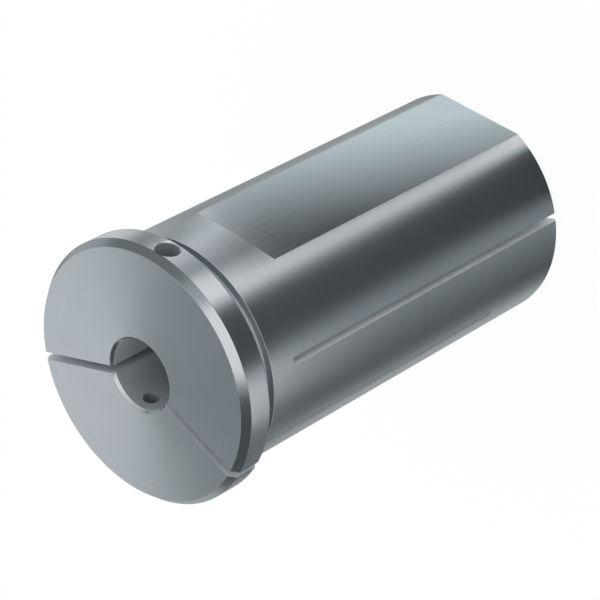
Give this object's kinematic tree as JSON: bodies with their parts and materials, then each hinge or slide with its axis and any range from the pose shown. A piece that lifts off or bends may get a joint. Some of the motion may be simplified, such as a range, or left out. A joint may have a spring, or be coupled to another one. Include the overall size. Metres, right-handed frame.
{
  "type": "boring bar sleeve",
  "caption": "Flanged steel reduction sleeve with a through bore, a clamping flat and saw slots, which holds a slim boring bar in a larger tool holder bore.",
  "frame": {"origin": "centre of the rear face, on the bore's axis", "axes": "+Z along the bore's axis towards the collar's front face, -Y out of the clamping flat"},
  "size_m": [0.0446, 0.0446, 0.0815],
  "materials": {
    "steel": "turned and ground"
  },
  "bodies": {
    "root": {"sleeve": "steel"}
  },
  "joints": []
}
